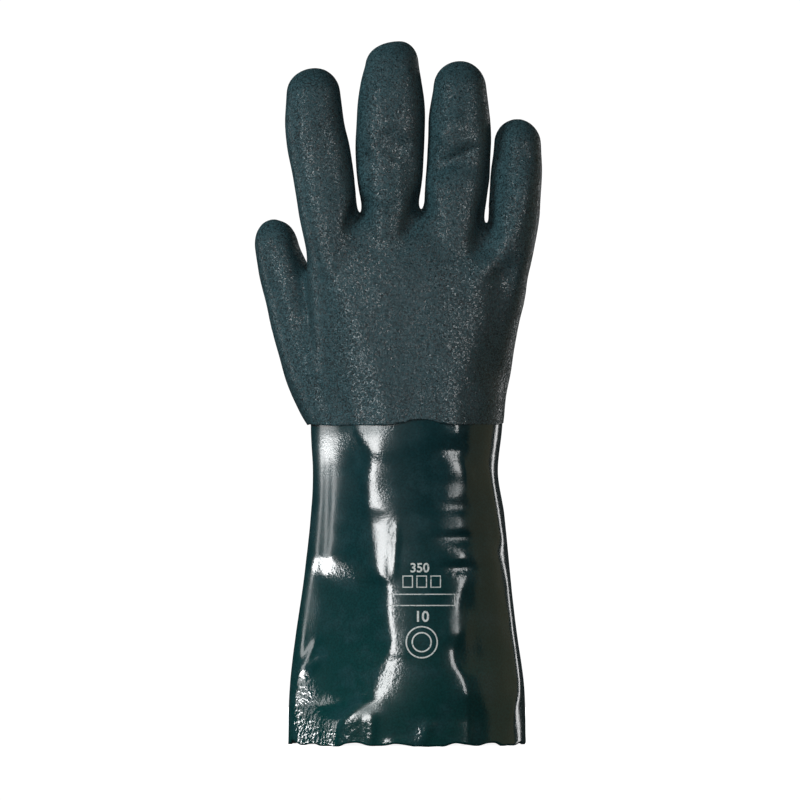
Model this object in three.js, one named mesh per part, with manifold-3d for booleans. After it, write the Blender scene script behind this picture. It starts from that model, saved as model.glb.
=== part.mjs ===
// A chemical-resistant gauntlet glove for the right hand, size 10, 350 mm long, made of dipped PVC.
// It stands on the rim of its cuff with the fingers up. The back of the hand faces -Y, the palm +Y,
// and the thumb is at -X. The origin is the middle of the arm opening, on the plane the rim stands on.
// Two hollow solids: the smooth glossy cuff, and the hand that was dipped again in a gritty grip coat.

import * as THREE from "three";
import { mergeVertices } from "three/addons/utils/BufferGeometryUtils.js";
import Module from "manifold-3d";

const wasm = await Module();
wasm.setup();

// Driving sizes, in millimetres.
const CUFF_WALL = 1.6;
const HAND_WALL = 2.2; // the hand has a second coat, so its wall is thicker
const COAT_STEP = 0.5; // how far the grip coat stands proud of the cuff where it ends
const WRIST_Z = 156; // where the grip coat ends
const JOINT_GAP = 0.3; // between the cuff's top edge and the hand's lower edge
const RIM_RISE = 1.4; // scale of the trimmed rim's ripples above the plane it stands on
const RIM_FADE = 22; // height over which the rim's ripples die out
const WRIST_FADE = 16; // depth below the wrist over which the folds grow
const FOLD_FADE = 10; // distance from the side line over which a fold grows
const KNUCKLE_ARCH = 0.0024; // drop of the finger roots, in mm for each square mm from the arch's crown
const ARCH_CROWN_X = -8;
const ARCH_FADE = 60; // height below the finger roots over which the arch dies out
const BORE_OVERSHOOT = 3; // how far a cutting core runs past the edge it opens

// Facets. The inner faces of the hand are hidden, so its cores are coarser than its outer form.
const CUFF_SIDES = 60;
const OUTER = { palmSides: 40, digitSides: 18, ringStep: 9, domeRings: 3 };
const CORE = { palmSides: 28, digitSides: 14, ringStep: 14, domeRings: 2 };

// The cuff, from the rim to the wrist. left and right are the outline's edges seen from the back of
// the hand, and depth is the size from front to back.
const CUFF_SECTIONS = [
  { z: 0, left: -59.4, right: 58.9, depth: 85 },
  { z: 30, left: -58.4, right: 58.0, depth: 84 },
  { z: 58, left: -55.0, right: 54.0, depth: 79 },
  { z: 86, left: -51.0, right: 51.0, depth: 73 },
  { z: 114, left: -48.0, right: 48.2, depth: 68.5 },
  { z: 135, left: -47.0, right: 45.0, depth: 66 },
  { z: 156, left: -48.0, right: 47.0, depth: 66 },
];
const CUFF_RING_HEIGHTS = [0, 6, 14, 26, 40, 55, 70, 86, 102, 118, 135, WRIST_Z - JOINT_GAP];
const CUFF_SQUARENESS = 2.15; // exponent of the superellipse: 2 is an ellipse

// Long soft folds in the cuff. x0 and x1 are where each crosses its lower end z0 and its upper end z1,
// on the face that points at -Y (side -1) or +Y (side 1). lift is outwards, and negative for a dent.
const CUFF_FOLDS = [
  { name: "front_left_ridge", side: -1, z0: 40, x0: -6, z1: 150, x1: -15, width: 7, lift: 1.6 },
  { name: "low_left_ridge", side: -1, z0: 0, x0: -27, z1: 40, x1: -7, width: 6, lift: 1.4 },
  { name: "front_right_ridge", side: -1, z0: 60, x0: 18, z1: 146, x1: 21, width: 7, lift: 1.3 },
  { name: "right_pinch", side: -1, z0: 24, x0: 27, z1: 62, x1: 14, width: 8, lift: 1.5 },
  { name: "front_hollow", side: -1, z0: 12, x0: 6, z1: 80, x1: 5, width: 9, lift: -1.4 },
  { name: "left_hollow", side: -1, z0: 20, x0: -33, z1: 130, x1: -31, width: 9, lift: -1.2 },
  { name: "right_hollow", side: -1, z0: 20, x0: 42, z1: 110, x1: 35, width: 8, lift: -1.4 },
  { name: "palm_ridge", side: 1, z0: 10, x0: 14, z1: 146, x1: 6, width: 9, lift: 1.4 },
  { name: "palm_hollow", side: 1, z0: 20, x0: -16, z1: 120, x1: -20, width: 10, lift: -1.5 },
  { name: "palm_right_hollow", side: 1, z0: 15, x0: 34, z1: 100, x1: 30, width: 9, lift: -1.2 },
];

// The palm, from the wrist to the finger roots.
const PALM_SECTIONS = [
  { z: 156, left: -48.0, right: 47.0, middle: 0, depth: 66 },
  { z: 170, left: -47.6, right: 48.2, middle: 0, depth: 62 },
  { z: 184, left: -47.4, right: 50.6, middle: 0, depth: 58 },
  { z: 198, left: -47.5, right: 52.8, middle: 0, depth: 54 },
  { z: 212, left: -47.9, right: 55.2, middle: 0, depth: 49.5 },
  { z: 226, left: -48.7, right: 57.6, middle: -0.5, depth: 44.5 },
  { z: 240, left: -49.6, right: 59.0, middle: -1, depth: 38 },
  { z: 252, left: -49.2, right: 58.0, middle: -1, depth: 30.5 },
  { z: 260, left: -47.0, right: 55.0, middle: -0.5, depth: 24.5 },
];
const PALM_TOP_DOME = 6.5;
const PALM_SQUARENESS = 2.35;

// The fingers and the thumb. A row is a level section: its edges, the middle of its depth, and its
// depth. Each starts inside the palm and ends in a round tip that reaches the height given by tip.
const DIGITS = {
  index: {
    tip: 337,
    sections: [
      { z: 232, left: -47.5, right: -22.0, middle: -4.5, depth: 28 },
      { z: 252, left: -51.6, right: -22.6, middle: -3.2, depth: 29 },
      { z: 267, left: -54.5, right: -25.1, middle: -1.3, depth: 28 },
      { z: 285, left: -57.4, right: -26.9, middle: 1.5, depth: 26 },
      { z: 297, left: -59.9, right: -28.8, middle: 3, depth: 26 },
      { z: 309, left: -60.9, right: -31.6, middle: 4.8, depth: 25 },
      { z: 323, left: -60.2, right: -33.5, middle: 7.5, depth: 23 },
    ],
  },
  middle: {
    tip: 350,
    sections: [
      { z: 232, left: -19.5, right: 3.5, middle: -5, depth: 29 },
      { z: 252, left: -21.5, right: 4.5, middle: -3.6, depth: 30 },
      { z: 267, left: -22.6, right: 5.2, middle: -1.4, depth: 28.5 },
      { z: 280, left: -24.8, right: 7.2, middle: 1.2, depth: 27 },
      { z: 293, left: -25.8, right: 8.1, middle: 3.6, depth: 26 },
      { z: 306, left: -25.5, right: 8.7, middle: 4.2, depth: 27.5 },
      { z: 319, left: -24.7, right: 8.4, middle: 6, depth: 26.5 },
      { z: 329, left: -23.2, right: 7.0, middle: 8, depth: 25 },
      { z: 338, left: -20.8, right: 5.4, middle: 10, depth: 23 },
    ],
  },
  ring: {
    tip: 340,
    sections: [
      { z: 228, left: 12.0, right: 34.5, middle: -5, depth: 28 },
      { z: 248, left: 9.0, right: 37.5, middle: -3.6, depth: 29 },
      { z: 264, left: 8.4, right: 38.5, middle: -1.3, depth: 28 },
      { z: 279, left: 9.0, right: 40.4, middle: 1.2, depth: 26.5 },
      { z: 289, left: 9.7, right: 41.1, middle: 3.8, depth: 24.5 },
      { z: 299, left: 10.2, right: 41.5, middle: 3.8, depth: 26.5 },
      { z: 312, left: 10.7, right: 41.0, middle: 5.5, depth: 26 },
      { z: 326, left: 13.0, right: 39.2, middle: 8.5, depth: 24 },
    ],
  },
  little: {
    tip: 311,
    sections: [
      { z: 218, left: 38.0, right: 55.5, middle: -3.2, depth: 24 },
      { z: 240, left: 38.6, right: 61.8, middle: -2.4, depth: 26 },
      { z: 258, left: 39.9, right: 64.9, middle: -0.6, depth: 25.5 },
      { z: 273, left: 40.8, right: 66.4, middle: 2.4, depth: 24 },
      { z: 285, left: 41.7, right: 66.8, middle: 5.5, depth: 22.5 },
      { z: 298, left: 43.2, right: 66.4, middle: 8.5, depth: 21.5 },
    ],
  },
  thumb: {
    tip: 261.5,
    sections: [
      { z: 156, left: -48.2, right: -14.0, middle: 5, depth: 52 },
      { z: 163, left: -52.4, right: -14.0, middle: 6, depth: 50 },
      { z: 177, left: -58.9, right: -17.0, middle: 8, depth: 47 },
      { z: 191, left: -63.4, right: -23.0, middle: 10.5, depth: 40 },
      { z: 205, left: -67.3, right: -31.0, middle: 13.5, depth: 33.5 },
      { z: 219, left: -70.3, right: -39.5, middle: 16, depth: 29 },
      { z: 233, left: -73.8, right: -46.8, middle: 17.5, depth: 26.5 },
      { z: 248, left: -76.4, right: -54.4, middle: 18.5, depth: 24 },
    ],
  },
};
const DIGIT_SQUARENESS = 2.1;

// A section between two rows of a table, by a cubic that keeps the table's slopes.
function sectionAt(rows, z) {
  const last = rows.length - 2;
  let i = 0;
  while (i < last && z > rows[i + 1].z) i += 1;
  const [low, high] = [rows[i], rows[i + 1]];
  const [before, after] = [rows[i - 1] ?? low, rows[i + 2] ?? high];
  const span = high.z - low.z;
  const t = (z - low.z) / span;
  const section = { z };
  for (const key of Object.keys(low).filter((name) => name !== "z")) {
    const slopeLow = (high[key] - before[key]) / (high.z - before.z);
    const slopeHigh = (after[key] - low[key]) / (after.z - low.z);
    section[key] =
      low[key] * (2 * t ** 3 - 3 * t ** 2 + 1) +
      high[key] * (3 * t ** 2 - 2 * t ** 3) +
      slopeLow * span * (t ** 3 - 2 * t ** 2 + t) +
      slopeHigh * span * (t ** 3 - t ** 2);
  }
  return section;
}

// A level superellipse ring of a section, shrunk by inset on every side and by scale about its middle.
function ringOf(section, sides, squareness, inset = 0, scale = 1) {
  const halfWidth = ((section.right - section.left) / 2 - inset) * scale;
  const halfDepth = (section.depth / 2 - inset) * scale;
  const centreX = (section.left + section.right) / 2;
  const centreY = section.middle ?? 0;
  const power = 2 / squareness;
  return Array.from({ length: sides }, (_, i) => {
    const angle = (i / sides) * 2 * Math.PI;
    const [c, s] = [Math.cos(angle), Math.sin(angle)];
    return new THREE.Vector3(
      centreX + halfWidth * Math.sign(c) * Math.abs(c) ** power,
      centreY + halfDepth * Math.sign(s) * Math.abs(s) ** power,
      section.z,
    );
  });
}

// The rings of a tube through a table's rows, topped by a round dome that rises to the height tip,
// and the dome's crown.
function tubeRings(rows, tip, sides, squareness, inset, { ringStep, domeRings }) {
  const [first, top] = [rows[0].z, rows.at(-1)];
  const steps = Math.round((top.z - first) / ringStep);
  const rings = Array.from({ length: steps + 1 }, (_, i) => {
    const z = THREE.MathUtils.lerp(first, top.z, i / steps);
    return ringOf(sectionAt(rows, z), sides, squareness, inset);
  });
  for (let i = 1; i <= domeRings; i += 1) {
    const angle = (i / (domeRings + 1)) * (Math.PI / 2);
    const ring = ringOf(top, sides, squareness, inset, Math.cos(angle));
    ring.forEach((p) => (p.z += (tip - top.z - inset) * Math.sin(angle)));
    rings.push(ring);
  }
  const crown = new THREE.Vector3((top.left + top.right) / 2, top.middle, tip - inset);
  return { rings, crown };
}

// One closed surface through a stack of rings, with a fan to the middle of the lowest ring and a fan
// to the crown.
function skinned(rings, crown) {
  const sides = rings[0].length;
  const foot = rings[0].reduce((sum, p) => sum.add(p), new THREE.Vector3()).divideScalar(sides);
  const points = [...rings.flat(), foot, crown];
  const [bottom, top] = [points.length - 2, points.length - 1];
  const index = [];
  for (let i = 0; i < sides; i += 1) {
    const j = (i + 1) % sides;
    index.push(bottom, j, i);
    for (let r = 0; r + 1 < rings.length; r += 1) {
      const [a, b] = [r * sides, (r + 1) * sides];
      index.push(a + i, a + j, b + j, a + i, b + j, b + i);
    }
    const end = (rings.length - 1) * sides;
    index.push(top, end + i, end + j);
  }
  const geometry = new THREE.BufferGeometry().setFromPoints(points);
  geometry.setIndex(index);
  return geometry;
}

// A geometry as a solid that can be joined and cut, and back again.
function solidOf(geometry) {
  const merged = mergeVertices(geometry);
  return new wasm.Manifold(
    new wasm.Mesh({
      numProp: 3,
      vertProperties: merged.attributes.position.array,
      triVerts: new Uint32Array(merged.index.array),
    }),
  );
}

function geometryOf(solid) {
  const { vertProperties, triVerts } = solid.getMesh();
  const geometry = new THREE.BufferGeometry();
  geometry.setAttribute("position", new THREE.BufferAttribute(vertProperties, 3));
  geometry.setIndex(new THREE.BufferAttribute(triVerts, 1));
  geometry.computeVertexNormals();
  return geometry;
}

// How far the folds push a point of the cuff outwards.
function foldLift(point) {
  let lift = 0;
  for (const fold of CUFF_FOLDS) {
    const facing = THREE.MathUtils.smoothstep(point.y * fold.side, 0, FOLD_FADE);
    const along = (point.z - fold.z0) / (fold.z1 - fold.z0);
    const onFold = THREE.MathUtils.clamp(along, 0, 1);
    const across = point.x - THREE.MathUtils.lerp(fold.x0, fold.x1, onFold);
    const past = (along - onFold) * (fold.z1 - fold.z0);
    lift += fold.lift * facing * Math.exp(-(across ** 2 + past ** 2) / fold.width ** 2);
  }
  return lift;
}

// Height of the trimmed rim. Its low stretches are flat on the plane that the glove stands on.
function rimHeight(angle) {
  const ripple = 0.9 * Math.sin(15 * angle + 0.6) + 0.8 * Math.sin(7 * angle + 2.1);
  return Math.max(0, RIM_RISE * (0.35 + ripple));
}

// The rings of one face of the cuff's wall: inset 0 is the outer face.
function cuffRings(inset) {
  return CUFF_RING_HEIGHTS.map((z) => {
    const section = sectionAt(CUFF_SECTIONS, z);
    const centreX = (section.left + section.right) / 2;
    const foldShare = THREE.MathUtils.smoothstep(WRIST_Z - z, 0, WRIST_FADE);
    const ring = ringOf(section, CUFF_SIDES, CUFF_SQUARENESS, inset);
    for (const point of ring) {
      const outwards = new THREE.Vector3(point.x - centreX, point.y, 0).normalize();
      point.addScaledVector(outwards, foldLift(point) * foldShare);
      const angle = Math.atan2(point.y, point.x - centreX);
      point.z += rimHeight(angle) * Math.max(0, 1 - z / RIM_FADE);
    }
    return ring;
  });
}

// The cuff is a tube, open at the rim and at the wrist. A narrow strip joins its outer and inner
// faces at each end.
function cuffSolid() {
  return solidOf(loopSkinned([...cuffRings(0), ...cuffRings(CUFF_WALL).reverse()]));
}

// One closed surface through a loop of rings, from the first round to the first again.
function loopSkinned(rings) {
  const sides = rings[0].length;
  const index = [];
  for (let r = 0; r < rings.length; r += 1) {
    const [a, b] = [r * sides, ((r + 1) % rings.length) * sides];
    for (let i = 0; i < sides; i += 1) {
      const j = (i + 1) % sides;
      index.push(a + i, a + j, b + j, a + i, b + j, b + i);
    }
  }
  const geometry = new THREE.BufferGeometry().setFromPoints(rings.flat());
  geometry.setIndex(index);
  return geometry;
}

// The palm, or the core that hollows it. A core starts lower, so that it opens the wrist.
function palmSolid(inset, facets) {
  const top = PALM_SECTIONS.at(-1).z;
  const { rings, crown } = tubeRings(
    PALM_SECTIONS,
    top + PALM_TOP_DOME,
    facets.palmSides,
    PALM_SQUARENESS,
    inset,
    facets,
  );
  if (inset > 0) rings.unshift(rings[0].map((p) => p.clone().setZ(p.z - BORE_OVERSHOOT)));
  for (const p of [...rings.flat(), crown]) {
    const fade = THREE.MathUtils.smoothstep(p.z, top - ARCH_FADE, top);
    p.z -= KNUCKLE_ARCH * (p.x - ARCH_CROWN_X) ** 2 * fade;
  }
  return solidOf(skinned(rings, crown));
}

// A finger or the thumb, or the core that hollows it.
function digitSolid({ tip, sections }, inset, facets) {
  const { rings, crown } = tubeRings(
    sections,
    tip,
    facets.digitSides,
    DIGIT_SQUARENESS,
    inset,
    facets,
  );
  return solidOf(skinned(rings, crown));
}

// The hand is the palm and the five digits as one shell, open at the wrist.
function handSolid() {
  const digits = Object.values(DIGITS);
  const joined = (parts) => parts.reduce((sum, part) => sum.add(part));
  const form = joined([
    palmSolid(-COAT_STEP, OUTER),
    ...digits.map((digit) => digitSolid(digit, 0, OUTER)),
  ]);
  const core = joined([
    palmSolid(HAND_WALL - COAT_STEP, CORE),
    ...digits.map((digit) => digitSolid(digit, HAND_WALL, CORE)),
  ]);
  return form.subtract(core);
}

function mesh(name, solid, colour, roughness) {
  const material = new THREE.MeshStandardMaterial({ color: colour, roughness, metalness: 0 });
  const part = new THREE.Mesh(geometryOf(solid), material);
  part.name = name;
  return part;
}

const glove = new THREE.Group();
glove.add(mesh("smooth_cuff", cuffSolid(), 0x123a38, 0.18));
glove.add(mesh("gritty_hand", handSolid(), 0x36474a, 0.7));

export default glove;
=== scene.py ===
"""A right-hand chemical-resistant gauntlet, standing on its cuff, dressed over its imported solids.

The glove is two dipped coats of PVC on a knitted liner. The cuff is smooth and glossy, and falls in
long soft folds. The hand was dipped again in a gritty grip coat, which ends in a wavy hem at the
wrist. A plain size print stands on the cuff. Sizes are in millimetres where no unit is given.
"""

import logging
import math
from collections.abc import Callable
from dataclasses import dataclass, field, fields
from enum import Enum
from functools import partial
from typing import ClassVar, TypeVar

import bmesh
import bpy
import numpy as np
from bpy.types import Material, Modifier, Node, NodeSocket, NodeTree, Object, World
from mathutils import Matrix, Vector, noise
from mathutils.bvhtree import BVHTree

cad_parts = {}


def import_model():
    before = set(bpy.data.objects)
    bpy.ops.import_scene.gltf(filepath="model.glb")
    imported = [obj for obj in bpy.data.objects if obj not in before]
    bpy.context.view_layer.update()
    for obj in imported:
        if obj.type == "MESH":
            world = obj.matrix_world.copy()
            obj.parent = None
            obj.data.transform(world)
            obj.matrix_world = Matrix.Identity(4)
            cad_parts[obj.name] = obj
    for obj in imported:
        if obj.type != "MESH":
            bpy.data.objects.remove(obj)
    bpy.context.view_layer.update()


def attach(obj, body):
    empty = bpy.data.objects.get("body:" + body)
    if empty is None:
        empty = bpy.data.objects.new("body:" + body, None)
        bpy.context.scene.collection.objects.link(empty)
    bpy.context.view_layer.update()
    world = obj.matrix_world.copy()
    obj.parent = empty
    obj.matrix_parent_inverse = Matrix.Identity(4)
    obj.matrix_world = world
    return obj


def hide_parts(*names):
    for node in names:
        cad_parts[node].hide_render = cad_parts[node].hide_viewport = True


LOG = logging.getLogger("glove")

MM = 0.001
PHOTO_MM_PER_PX = 0.497  # 705 pixels of glove are 350 mm
PHOTO_PX = 800
PITTED = "pitted"  # the attribute that tells how pitted the skin is
DULLNESS = "dullness"  # the attribute that tells how dull it is
CUFF_SKIN = "smooth_cuff_skin"
HAND_SKIN = "gritty_hand_skin"
STRETCH_POINTS = 8  # points on a crease's line for each stretch of its path
FACING = 0.4  # the Y of a normal from which a surface lies wholly on one face
WELD_M = 1e-7  # metres within which a tube's vertices are one
CUT_M = 1e-6  # metres within which a vertex lies on the hem's cut
WAVE_PERIOD = math.pi / 10  # metres from wave to wave in a wave texture at a scale of 1

BMesh, BMVert = bmesh.types.BMesh, bmesh.types.BMVert
NodeAdder = Callable[..., Node]
Share = TypeVar("Share", float, np.ndarray)


class Face(Enum):
    """The two broad faces of the glove, by the way that each looks along Y."""

    BACK = -1.0
    PALM = 1.0


BACK, PALM = Face.BACK, Face.PALM


def ease(t: Share) -> Share:
    """Return a share, or an array of them, with a smooth start and end."""
    return t * t * (3.0 - 2.0 * t)


def smoothstep(low: float, high: float, value: float) -> float:
    """Return 0 below low, 1 above high, and a smooth rise between them."""
    return ease(max(0.0, min(1.0, (value - low) / (high - low))))


def lerp(low: float, high: float, t: float) -> float:
    """Return the value a share t of the way from low to high."""
    return low + (high - low) * t


def linear(hex_colour: str) -> tuple[float, float, float, float]:
    """Return an sRGB hex colour, such as "36474a", as a linear RGBA colour with an alpha of 1."""
    channels = (int(hex_colour[i : i + 2], 16) / 255 for i in (0, 2, 4))
    return (*(c / 12.92 if c <= 0.04045 else ((c + 0.055) / 1.055) ** 2.4 for c in channels), 1.0)


@dataclass(frozen=True)
class Section:
    """A level section of a tube: its outline's edges, the middle of its depth, and its depth."""

    z: float
    left: float
    right: float
    middle: float
    depth: float


@dataclass(frozen=True)
class Turns:
    """Where the back of the cuff bends at one height: the edges of its two long soft ridges.

    The sides say how far round the back faces near its outline's edges, in degrees.
    """

    z: float
    left_start: float
    left_end: float
    right_start: float
    right_end: float
    left_side: float
    right_side: float


Row = TypeVar("Row", Section, Turns)


@dataclass(frozen=True)
class Flaw:
    """A soft-edged oval on the cuff's back, x and z at its middle, where the skin set unevenly.

    The pitted and the dull shares say how much of each flaw there is at its middle.
    """

    x: float
    z: float
    half_width: float
    half_height: float
    pitted: float
    dull: float

    def fade(self, x: float, z: float) -> float:
        """Return the share of the flaw at a place, from 0 to 1."""
        away = math.hypot((x - self.x) / self.half_width, (z - self.z) / self.half_height)
        return math.exp(-(away**3))


@dataclass(frozen=True)
class Ripple:
    """A wave round an edge, so many to the round."""

    count: int
    height: float
    phase: float = 0.0

    def at(self, angle: float) -> float:
        """Return the wave's height at an angle in radians."""
        return self.height * math.sin(self.count * angle + self.phase)


@dataclass(frozen=True)
class Swell:
    """A bell-shaped rise of an edge, or a dip where its height is negative."""

    x: float
    width: float
    height: float

    def at(self, x: float) -> float:
        """Return the rise at an x."""
        return self.height * math.exp(-(((x - self.x) / self.width) ** 2))


@dataclass(frozen=True)
class Blend:
    """A round place on the hand where the fused skin is relaxed, so that its parts run together."""

    x: float
    z: float
    radius: float
    rounds: int


@dataclass(frozen=True)
class Crease:
    """A ridge or a hollow along a smooth line on one face, with a soft bell-shaped profile.

    The path is a row of (x, z) points. The lift is outwards, and negative for a hollow. The taper
    is the share of the path over which the lift dies out at each end.
    """

    face: Face
    path: tuple[tuple[float, float], ...]
    width: float
    lift: float
    taper: float

    def line(self) -> np.ndarray:
        """Return the path as a smooth row of (x, z) points."""
        points = np.array([self.path[0], *self.path, self.path[-1]], dtype=float)
        if len(self.path) == 2:
            return points[1:3]
        t = np.linspace(0.0, 1.0, STRETCH_POINTS, endpoint=False)[:, None]
        stretches = []
        for a, b, c, d in zip(points, points[1:], points[2:], points[3:]):
            square = (2 * a - 5 * b + 4 * c - d) * t**2
            cube = (3 * b - a - 3 * c + d) * t**3
            stretches.append(0.5 * (2 * b + (c - a) * t + square + cube))
        return np.vstack([*stretches, points[-1:]])

    def push(self, places: np.ndarray, facing: np.ndarray) -> np.ndarray:
        """Return how far each point of a surface is moved outwards.

        Args:
            places: The points' x and z, in mm, a row for each point.
            facing: The Y of the surface's normal at each point.

        Returns:
            The move of each point along its normal, in mm.
        """
        line = self.line()
        nearest = np.full(len(places), np.inf)
        along = np.zeros(len(places))
        for i, (start, end) in enumerate(zip(line, line[1:])):
            step = end - start
            t = np.clip((places - start) @ step / (step @ step), 0.0, 1.0)
            distance = np.linalg.norm(places - start - t[:, None] * step, axis=1)
            closer = distance < nearest
            nearest[closer] = distance[closer]
            along[closer] = (i + t[closer]) / (len(line) - 1)
        turned = np.clip(facing * self.face.value / FACING, 0.0, 1.0)
        inside = np.clip(np.minimum(along, 1 - along) / self.taper, 0.0, 1.0)
        return self.lift * ease(turned) * ease(inside) * np.exp(-((nearest / self.width) ** 2))


def row_at(rows: tuple[Row, ...], z: float) -> Row:
    """Return a table's row at a height, by a cubic that keeps the table's slopes.

    Args:
        rows: The table's rows, lowest first.
        z: The height, in mm. Beyond the table it is taken at the table's end.

    Returns:
        The sizes at that height.
    """
    z = min(max(z, rows[0].z), rows[-1].z)
    i = 0
    while i < len(rows) - 2 and z > rows[i + 1].z:
        i += 1
    low, high = rows[i], rows[i + 1]
    before, after = rows[max(i - 1, 0)], rows[min(i + 2, len(rows) - 1)]
    span = high.z - low.z
    t = (z - low.z) / span

    def blend(name: str) -> float:
        """Return one of the sizes at the height."""
        slope_low = (getattr(high, name) - getattr(before, name)) / (high.z - before.z)
        slope_high = (getattr(after, name) - getattr(low, name)) / (after.z - low.z)
        return (
            getattr(low, name) * (2 * t**3 - 3 * t**2 + 1)
            + getattr(high, name) * (3 * t**2 - 2 * t**3)
            + slope_low * span * (t**3 - 2 * t**2 + t)
            + slope_high * span * (t**3 - t**2)
        )

    return type(low)(z, *(blend(size.name) for size in fields(low) if size.name != "z"))


def on_section(
    section: Section, turn: float, squareness: float, outset: float = 0.0, scale: float = 1.0
) -> Vector:
    """Return a point on a section's superellipse.

    Args:
        section: The level section.
        turn: The place round it, from 0 to 1, starting at +X.
        squareness: The superellipse's exponent. 2 is an ellipse.
        outset: How far outside the section the point lies, in mm.
        scale: The section's scale about its middle.

    Returns:
        The point, in mm.
    """
    cos, sin = math.cos(turn * math.tau), math.sin(turn * math.tau)
    power = 2.0 / squareness
    half_width = ((section.right - section.left) / 2 + outset) * scale
    half_depth = (section.depth / 2 + outset) * scale
    x = (section.left + section.right) / 2 + half_width * math.copysign(abs(cos) ** power, cos)
    y = section.middle + half_depth * math.copysign(abs(sin) ** power, sin)
    return Vector((x, y, section.z))


def add_tube(
    bm: BMesh, around: int, along: int, place: Callable[[float, float], Vector]
) -> None:
    """Roll a grid up into a tube and add it to a bmesh.

    Args:
        bm: The bmesh.
        around: The number of faces round the tube.
        along: The number of faces along it.
        place: Gives the point, in mm, for a turn and a share of the length, each from 0 to 1.
    """
    verts = bmesh.ops.create_grid(bm, x_segments=around, y_segments=along, size=0.5)["verts"]
    for vert in verts:
        turn = round((vert.co.x + 0.5) * around) % around / around
        vert.co = place(turn, vert.co.y + 0.5) * MM
    bmesh.ops.remove_doubles(bm, verts=verts, dist=WELD_M)


def mesh_object(name: str, bm: BMesh) -> Object:
    """Turn a bmesh into a smooth-shaded object in the scene, and free the bmesh."""
    mesh = bpy.data.meshes.new(name)
    bm.to_mesh(mesh)
    bm.free()
    mesh.shade_smooth()
    obj = bpy.data.objects.new(name, mesh)
    bpy.context.scene.collection.objects.link(obj)
    return obj


def remeshed(bm: BMesh, voxel: float) -> BMesh:
    """Fuse overlapping closed shells into one skin of even quads.

    Args:
        bm: The shells. The bmesh is freed.
        voxel: The size of the quads, in mm.

    Returns:
        A new bmesh with the fused skin.
    """
    obj = mesh_object("fused", bm)
    remesh = obj.modifiers.new("fuse", "REMESH")
    remesh.mode = "VOXEL"
    remesh.voxel_size = voxel * MM
    fused = bmesh.new()
    fused.from_object(obj, bpy.context.evaluated_depsgraph_get())
    mesh = obj.data
    bpy.data.objects.remove(obj)
    bpy.data.meshes.remove(mesh)
    return fused


def relax(bm: BMesh, verts: list[BMVert], rounds: int) -> None:
    """Smooth some of a bmesh's vertices a number of times."""
    for _ in range(rounds):
        bmesh.ops.smooth_vert(
            bm, verts=verts, factor=0.5, use_axis_x=True, use_axis_y=True, use_axis_z=True
        )


def sculpt(
    bm: BMesh, creases: tuple[Crease, ...], fade: Callable[[float], float]
) -> None:
    """Press ridges and hollows into a skin, along its normals.

    Args:
        bm: The skin.
        creases: The ridges and hollows.
        fade: Gives the share of their lift that is left at a height in mm.
    """
    bm.normal_update()
    places = np.array([(v.co.x, v.co.z) for v in bm.verts]) / MM
    facing = np.array([v.normal.y for v in bm.verts])
    lift = sum(crease.push(places, facing) for crease in creases)
    for vert, height, (_, z) in zip(bm.verts, lift, places):
        vert.co += vert.normal * float(height) * fade(z) * MM


def roughen(bm: BMesh, wave: float, height: float) -> None:
    """Give a skin the slight unevenness of a hand-dipped coat.

    Args:
        bm: The skin.
        wave: The distance from one swell to the next, in mm.
        height: How far the swells rise and fall, in mm.
    """
    bm.normal_update()
    for vert in bm.verts:
        vert.co += vert.normal * noise.noise(vert.co / (wave * MM)) * height * MM


def add_node(
    tree: NodeTree,
    kind: str,
    settings: dict[str | int, object] | None = None,
    links: dict[str | int, Node | NodeSocket] | None = None,
) -> Node:
    """Add a node with its settings and links.

    Args:
        tree: The node tree.
        kind: The node's type, such as "Bump".
        settings: Values for the node's own properties, or for its inputs by name or number.
        links: For an input's name or number, the socket that feeds it, or a node of which the first
            output does.

    Returns:
        The new node.
    """
    node = tree.nodes.new(f"ShaderNode{kind}")
    for name, value in (settings or {}).items():
        if hasattr(node, str(name)):
            setattr(node, name, value)
        else:
            node.inputs[name].default_value = value
    for name, source in (links or {}).items():
        output = source.outputs[0] if isinstance(source, Node) else source
        tree.links.new(output, node.inputs[name])
    return node


def empty_nodes(owner: Material | World) -> NodeAdder:
    """Empty a material's or a world's node tree, and return what adds nodes to it."""
    owner.use_nodes = True
    owner.node_tree.nodes.clear()
    return partial(add_node, owner.node_tree)


class Finish:
    """A surface finish. Its material is named for the stuff and the process."""

    process: ClassVar[str]

    def shader(self, node: NodeAdder) -> Node:
        """Add the finish's nodes and return its shader."""
        raise NotImplementedError

    def material(self) -> Material:
        """Return a new material with this finish."""
        material = bpy.data.materials.new(self.process)
        node = empty_nodes(material)
        node("OutputMaterial", {}, {"Surface": self.shader(node)})
        return material


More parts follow.
